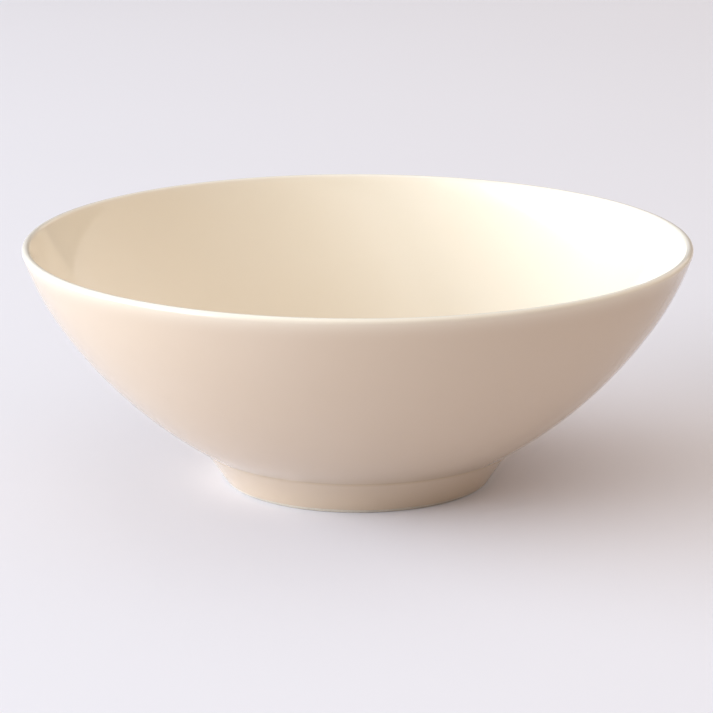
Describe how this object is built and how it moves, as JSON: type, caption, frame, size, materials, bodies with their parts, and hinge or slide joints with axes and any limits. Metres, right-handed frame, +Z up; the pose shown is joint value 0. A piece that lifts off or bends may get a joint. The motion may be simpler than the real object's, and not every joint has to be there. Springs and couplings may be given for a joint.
{
  "type": "serving bowl",
  "caption": "Round glazed porcelain serving bowl with a wide flared wall, a full-round lip and a low conical foot ring.",
  "frame": {"origin": "centre of the flat face that the foot ring stands on", "axes": "+Z up along the bowl's axis, from the foot towards the open mouth; X and Y are free, because the bowl is round"},
  "size_m": [0.22, 0.22, 0.0805],
  "materials": {
    "bare_porcelain": "matte",
    "ivory_glaze": "gloss"
  },
  "bodies": {
    "root": {"porcelain_body": "bare_porcelain", "foot_ring": "bare_porcelain", "outside_glaze": "ivory_glaze", "inside_glaze": "ivory_glaze", "base_glaze": "ivory_glaze"}
  },
  "joints": []
}
